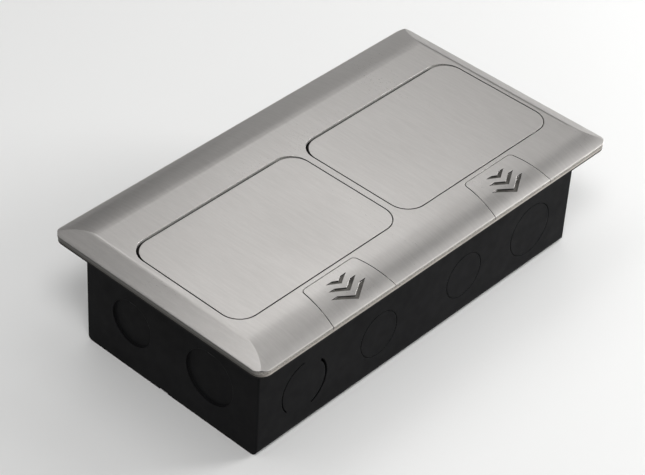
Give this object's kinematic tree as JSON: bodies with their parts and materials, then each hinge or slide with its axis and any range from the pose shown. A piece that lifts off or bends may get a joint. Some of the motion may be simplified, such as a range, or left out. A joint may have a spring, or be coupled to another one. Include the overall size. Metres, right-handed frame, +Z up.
{
  "type": "floor socket box",
  "caption": "Flush floor box with a brushed cover plate, pop-up socket cradles under hinged lids, slide buttons with chevrons and a black steel back box.",
  "frame": {"origin": "middle of the underside of the back box", "axes": "+Z up out of the floor, +X along the long side, the slide buttons on the -Y side"},
  "size_m": [0.24, 0.132, 0.0677],
  "materials": {
    "black_steel": "black powder coat, satin",
    "brass": "plain brass",
    "rubber": "matt black foam rubber",
    "zinc_frame": "die-cast, as cast",
    "cover_metal": "brushed nickel, fine lines along Y",
    "lid_metal": "brushed nickel, fine lines along Y",
    "button_metal": "brushed nickel with rough engraved chevrons",
    "plated_screws": "zinc-plated",
    "steel_rod": "bright drawn steel",
    "spring_steel": "bright spring wire and strip",
    "black_plastic": "fine-textured moulding",
    "outlet_plastic": "satin light grey moulding",
    "jack_plastic": "black moulding"
  },
  "bodies": {
    "root": {"back_box": "black_steel", "box_brackets": "black_steel", "earth_stud": "brass", "earth_nuts": "brass", "floor_gasket": "rubber", "base_frame": "zinc_frame", "cover_frame": "cover_metal", "panel_screws": "plated_screws", "cover_screws": "plated_screws", "left_hinge_rod": "steel_rod", "right_hinge_rod": "steel_rod", "left_torsion_springs": "spring_steel", "right_torsion_springs": "spring_steel", "left_button_springs": "spring_steel", "right_button_springs": "spring_steel"},
    "left_cradle_body": {"left_lid": "lid_metal", "left_cradle": "black_plastic", "left_lid_screws": "plated_screws", "left_terminal_cover": "black_plastic", "left_terminals": "brass", "left_terminal_screws": "plated_screws", "left_outlet_1": "outlet_plastic", "left_outlet_2": "outlet_plastic"},
    "left_slider": {"left_button": "button_metal", "left_latch": "spring_steel", "left_latch_screw": "plated_screws"},
    "right_cradle_body": {"right_lid": "lid_metal", "right_cradle": "black_plastic", "right_lid_screws": "plated_screws", "right_terminal_cover": "black_plastic", "right_terminals": "brass", "right_terminal_screws": "plated_screws", "right_outlet": "outlet_plastic", "right_data_outlet": "outlet_plastic", "right_data_jacks": "jack_plastic"},
    "right_slider": {"right_button": "button_metal", "right_latch": "spring_steel", "right_latch_screw": "plated_screws"}
  },
  "joints": [
    {"name": "left_lid_hinge", "type": "hinge", "parent": "root", "child": "left_cradle_body", "pos_m": [-0.0549, 0.017, 0.06275], "axis": [-1, 0, 0], "range_deg": [0, 60], "deforming": ["left_torsion_springs", "left_latch"]},
    {"name": "left_button_slide", "type": "slide", "parent": "root", "child": "left_slider", "axis": [0, -1, 0], "range_m": [0, 0.0045], "stiffness_N_per_m": 400, "deforming": ["left_button_springs"]},
    {"name": "right_lid_hinge", "type": "hinge", "parent": "root", "child": "right_cradle_body", "pos_m": [0.0549, 0.017, 0.06275], "axis": [-1, 0, 0], "range_deg": [0, 60], "deforming": ["right_torsion_springs", "right_latch"]},
    {"name": "right_button_slide", "type": "slide", "parent": "root", "child": "right_slider", "axis": [0, -1, 0], "range_m": [0, 0.0045], "stiffness_N_per_m": 400, "deforming": ["right_button_springs"]}
  ]
}
